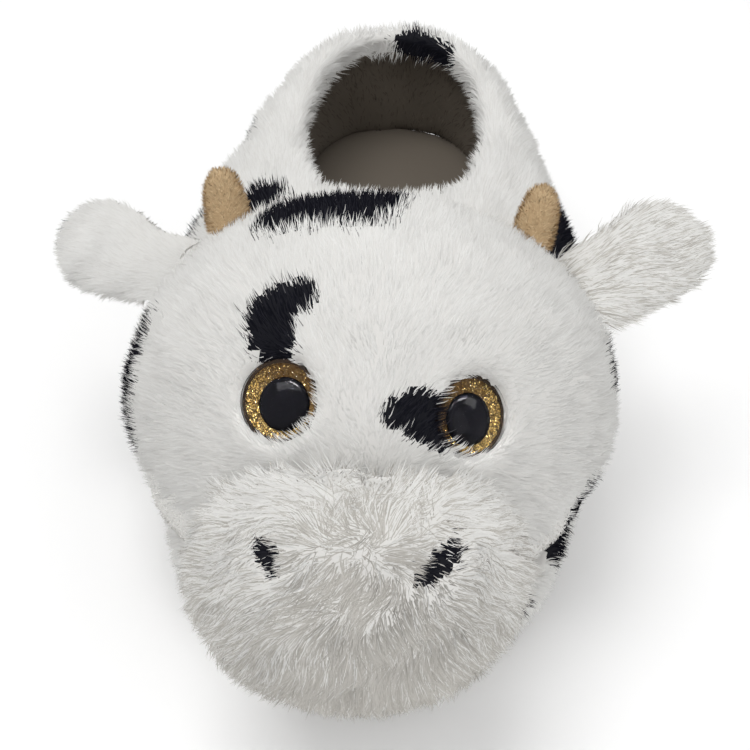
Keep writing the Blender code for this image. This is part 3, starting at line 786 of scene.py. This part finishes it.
def short_hairs(name, piece, count, shades, length, width, flow, keep, seed, soft):
    """A short nap in shades of one colour."""
    rng = np.random.default_rng(seed)
    places, out, _ = scattered(piece.data, count, rng)
    if keep is not None:
        kept = keep(places, out)
        places, out = places[kept], out[kept]
    shares = np.array(NAP_SHARES[: len(shades)])
    which = rng.choice(len(shades), len(places), p=shares / sum(NAP_SHARES[: len(shades)]))
    ways = np.tile(np.array(flow, float), (len(places), 1)) + rng.normal(0, 0.5, (len(places), 3))
    made = hairs(name, places, out, ways, np.full(len(places), length), np.full(len(places), width), which,
                 shades, seed=seed, rise=70, fall=45, clump=0.3, soft=soft)


for word, side in (("left", 1), ("right", -1)):
    short_hairs(f"horn_{word}_hair", horns[word], 4500, tan_hair, 0.0022, 0.00030, (side * 0.2, 0.4, 0.9),
                None, 31, 0.45)
short_hairs("lining_hair", body, 38000, taupe_hair, 0.0026, 0.0004, (0, 0, -1),
            lambda places, out: lined(places, out) & (places[:, 1] > -0.02), 33, 0.12)


def turned(name, profile, at, surface, columns=64):
    """A turned form on an eye's axis, from (radius, height) rows."""
    middle, out, across, up = at
    rows, faces = [], []
    for radius, height in profile:
        for i in range(columns):
            turn = 2 * math.pi * i / columns
            spot = middle + across * (radius * math.cos(turn)) + up * (radius * math.sin(turn))
            rows.append(spot + out * height)
    for k in range(len(profile) - 1):
        for i in range(columns):
            j = (i + 1) % columns
            faces.append((k * columns + i, k * columns + j, (k + 1) * columns + j, (k + 1) * columns + i))
    mesh = bpy.data.meshes.new(name)
    mesh.from_pydata(rows, [], faces)
    mesh.materials.append(surface)
    mesh.shade_smooth()
    mesh.set_sharp_from_angle(angle=math.radians(50))
    piece = bpy.data.objects.new(name, mesh)
    scene.collection.objects.link(piece)
    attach(piece, "root")
    return piece


# The eyes' materials
gold_base = shade("eye_gold_base", (0.10, 0.058, 0.02), 0.4, metallic=0.6, specular=0.5, bump=0.6,
                  scale=2500)
# Mid, dark and bright gold for the flakes; on the ring the dark gold is dealt out as painted shade and the
# bright gold as painted light
FLAKE_GOLDS_LIT_AND_SHADED = (((0.48, 0.31, 0.09), 0.3), ((0.10, 0.055, 0.02), 0.4), ((1.0, 0.80, 0.36), 0.25))
flake_golds_lit_and_shaded = [shade(f"eye_flake_{k}", colour, roughness, metallic=1.0, specular=0.5, bump=0.02)
               for k, (colour, roughness) in enumerate(FLAKE_GOLDS_LIT_AND_SHADED)]
pupil_black = shade("eye_pupil", (0.0035, 0.0035, 0.005), 0.6, specular=0.0, coat=0.18, coat_roughness=0.04,
                    bump=0.0)
rim_brown = shade("eye_rim", (0.022, 0.012, 0.006), 0.5, specular=0.2, bump=0.05)
glass = shade("eye_glass", (1.0, 1.0, 1.0), 0.015, specular=0.5, bump=0.0)
glass.node_tree.nodes["Principled BSDF"].inputs["Transmission Weight"].default_value = 1.0
glass.node_tree.nodes["Principled BSDF"].inputs["IOR"].default_value = 1.04


def eye_disc(word, at):
    """The flat back of an eye, with its brown rim."""
    edge = EYE_RADIUS - 0.0006
    disc = turned(f"eye_{word}_ring", (
        (TINY, -0.0013), (edge, -0.0013), (edge, DISC_TOP - 0.0004), (RING_RADIUS, DISC_TOP),
        (TINY, DISC_TOP)), at, gold_base)
    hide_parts(f"eye_{word}")
    turned(f"eye_{word}_rim", (
        (EYE_RADIUS - 0.0003, -0.0010), (EYE_RADIUS - 0.0002, DISC_TOP + 0.0004),
        (RING_RADIUS - 0.0003, DISC_TOP + 0.0003), (RING_RADIUS - 0.0004, DISC_TOP - 0.0002)), at, rim_brown)


def eye_pupil(word, at):
    """A domed black pupil, set a little towards the nose."""
    profile = [(PUPIL_RADIUS, DISC_TOP - 0.0001)]
    for k in range(9):
        share = math.sin(math.pi / 2 * k / 8)
        radius = max(PUPIL_RADIUS * math.sqrt(1 - share**2), TINY)
        profile.append((radius, DISC_TOP + 0.0002 + PUPIL_RISE * share))
    turned(f"eye_{word}_pupil", profile, at, pupil_black)


def eye_glitter(word, side, at, pupil_middle):
    """Loose flakes of gold on the ring, with painted shade and light: darker above and towards the nose,
    brighter below and to the outside.
    """
    middle, out, across, up = at
    rng = np.random.default_rng(60 + side)
    rows, faces, which = [], [], []
    while len(which) < FLAKES:
        radius = RING_RADIUS * math.sqrt(rng.random())
        turn = rng.random() * 2 * math.pi
        spot = middle + across * (radius * math.cos(turn)) + up * (radius * math.sin(turn))
        if (spot - pupil_middle).length < PUPIL_RADIUS - 0.0001:
            continue
        spot = spot + out * (DISC_TOP + 0.00012 + rng.random() * 0.0001)
        tilt = Vector(rng.normal(0, 0.35, 3))
        face_way = (out + tilt).normalized()
        side_way = face_way.orthogonal().normalized()
        side_way.rotate(Matrix.Rotation(rng.random() * 6.28, 3, face_way))
        other = face_way.cross(side_way)
        size = rng.uniform(0.00012, 0.00026)
        first = len(rows)
        rows += [spot + side_way * size, spot - side_way * size * 0.5 + other * size * 0.87,
                 spot - side_way * size * 0.5 - other * size * 0.87]
        faces.append((first, first + 1, first + 2))
        # Painted shade and light: flakes high on the ring and towards the nose are more often dark gold,
        # those low and to the outside more often bright gold, for the dome's shade above and the light it
        # gathers below
        high = (spot - middle).dot(up) / RING_RADIUS
        outer = (spot - middle).dot(across) * side / RING_RADIUS
        painted_shade = min(0.93, max(0.08, 0.52 + 0.6 * high - 0.25 * outer))
        which.append(int(rng.choice(3, p=((1 - painted_shade) * 0.7, painted_shade, (1 - painted_shade) * 0.3))))
    mesh = bpy.data.meshes.new(f"eye_{word}_glitter")
    mesh.from_pydata(rows, [], faces)
    for surface in flake_golds_lit_and_shaded:
        mesh.materials.append(surface)
    mesh.polygons.foreach_set("material_index", which)
    flakes = bpy.data.objects.new(mesh.name, mesh)
    scene.collection.objects.link(flakes)
    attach(flakes, "root")


def eye_dome(word, at):
    """The clear dome over an eye."""
    profile = [(EYE_RADIUS - 0.0001, DISC_TOP - 0.0006), (EYE_RADIUS, LENS_FOOT)]
    for k in range(1, 13):
        turn = math.pi / 2 * k / 12
        height = LENS_FOOT + 0.0008 + (LENS_RISE - 0.0014) * math.sin(turn)
        profile.append((max(EYE_RADIUS * math.cos(turn), TINY), height))
    lens = turned(f"eye_{word}_dome", profile, at, glass)
    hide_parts(f"lens_{word}")


for word, side in (("left", 1), ("right", -1)):
    middle, out, across, up = eyes[word]
    pupil_middle = middle - across * side * PUPIL_SHIFT - up * PUPIL_SHIFT * 0.35
    eye_disc(word, eyes[word])
    eye_pupil(word, (pupil_middle, out, across, up))
    eye_glitter(word, side, eyes[word], pupil_middle)
    eye_dome(word, eyes[word])

# Sole cloth
sole_cloth = shade("sole_cloth", (0.30, 0.28, 0.25), 0.9, bump=1.0, depth=0.0006, scale=700)
outsole = bpy.data.objects["outsole"]
outsole.data.materials.clear()
outsole.data.materials.append(sole_cloth)

# Floor, light and camera
bpy.ops.mesh.primitive_plane_add(size=6.0, location=(0, 0, -0.0002))
floor = bpy.context.object
floor.name = "floor"
floor_paint = shade("floor_paint", (0.93, 0.93, 0.93), 0.9, bump=0.02)
floor.data.materials.append(floor_paint)

world = bpy.data.worlds.new("soft_room")
scene.world = world
world.use_nodes = True
world.node_tree.nodes["Background"].inputs["Color"].default_value = (1.0, 1.0, 1.0, 1)
world.node_tree.nodes["Background"].inputs["Strength"].default_value = 0.72


def lamp(name, place, aim, wide, high, power):
    """A soft box that looks at a place."""
    data = bpy.data.lights.new(name, "AREA")
    data.shape = "RECTANGLE"
    data.size, data.size_y = wide, high
    data.energy = power
    thing = bpy.data.objects.new(name, data)
    scene.collection.objects.link(thing)
    thing.location = place
    thing.rotation_euler = (Vector(aim) - Vector(place)).to_track_quat("-Z", "Y").to_euler()
    return thing


lamp("key", (-0.25, -0.05, 1.15), (0, -0.02, 0.05), 0.7, 0.7, 6.0)
lamp("fill", (0.8, -0.7, 0.6), (0, 0, 0.05), 0.8, 0.8, 1.5)

# Narrow windows and soft panels that only the glossy eyes reflect
EYE_GLINTS = (
    ("glint_left", (0.508, 0.122, 0.821), 0.10, 0.45, 14.0),
    ("glint_right", (-0.198, 0.020, 0.968), 0.10, 0.45, 14.0),
    ("haze_left", (0.790, 0.100, 0.530), 0.35, 0.35, 2.6),
    ("haze_right", (-0.580, -0.110, 0.790), 0.35, 0.35, 2.6),
)
for name, place, wide, high, power in EYE_GLINTS:
    lamp(name, place, (0, -0.076, 0.09), wide, high, power).visible_diffuse = False

# The photograph is 750 pixels wide. The frame is a square of 504 of them, round its pixel (236, 458).
PHOTO_WIDTH = 750
FRAME_WIDTH = 504
FRAME_MIDDLE = (236, 458)
PHOTO_LENS = 58.497  # millimetres, on a 36 mm sensor
camera_data = bpy.data.cameras.new("camera")
camera = bpy.data.objects.new("camera", camera_data)
scene.collection.objects.link(camera)
camera_data.sensor_width = 36
camera_data.lens = PHOTO_LENS * PHOTO_WIDTH / FRAME_WIDTH
camera_data.shift_x = (FRAME_MIDDLE[0] - PHOTO_WIDTH / 2) / FRAME_WIDTH
camera_data.shift_y = -(FRAME_MIDDLE[1] - PHOTO_WIDTH / 2) / FRAME_WIDTH

# The camera's own directions and its place, worked out from points that the photograph and the shoe share
right = Vector((0.99567, -0.03325, 0.08680))
above = Vector((-0.04756, 0.62006, 0.78311))
back = Vector((-0.07986, -0.78385, 0.61579))
turn = Matrix((right, above, back)).transposed().to_4x4()
camera.matrix_world = Matrix.Translation((0.01558, -0.41598, 0.40964)) @ turn
scene.camera = camera
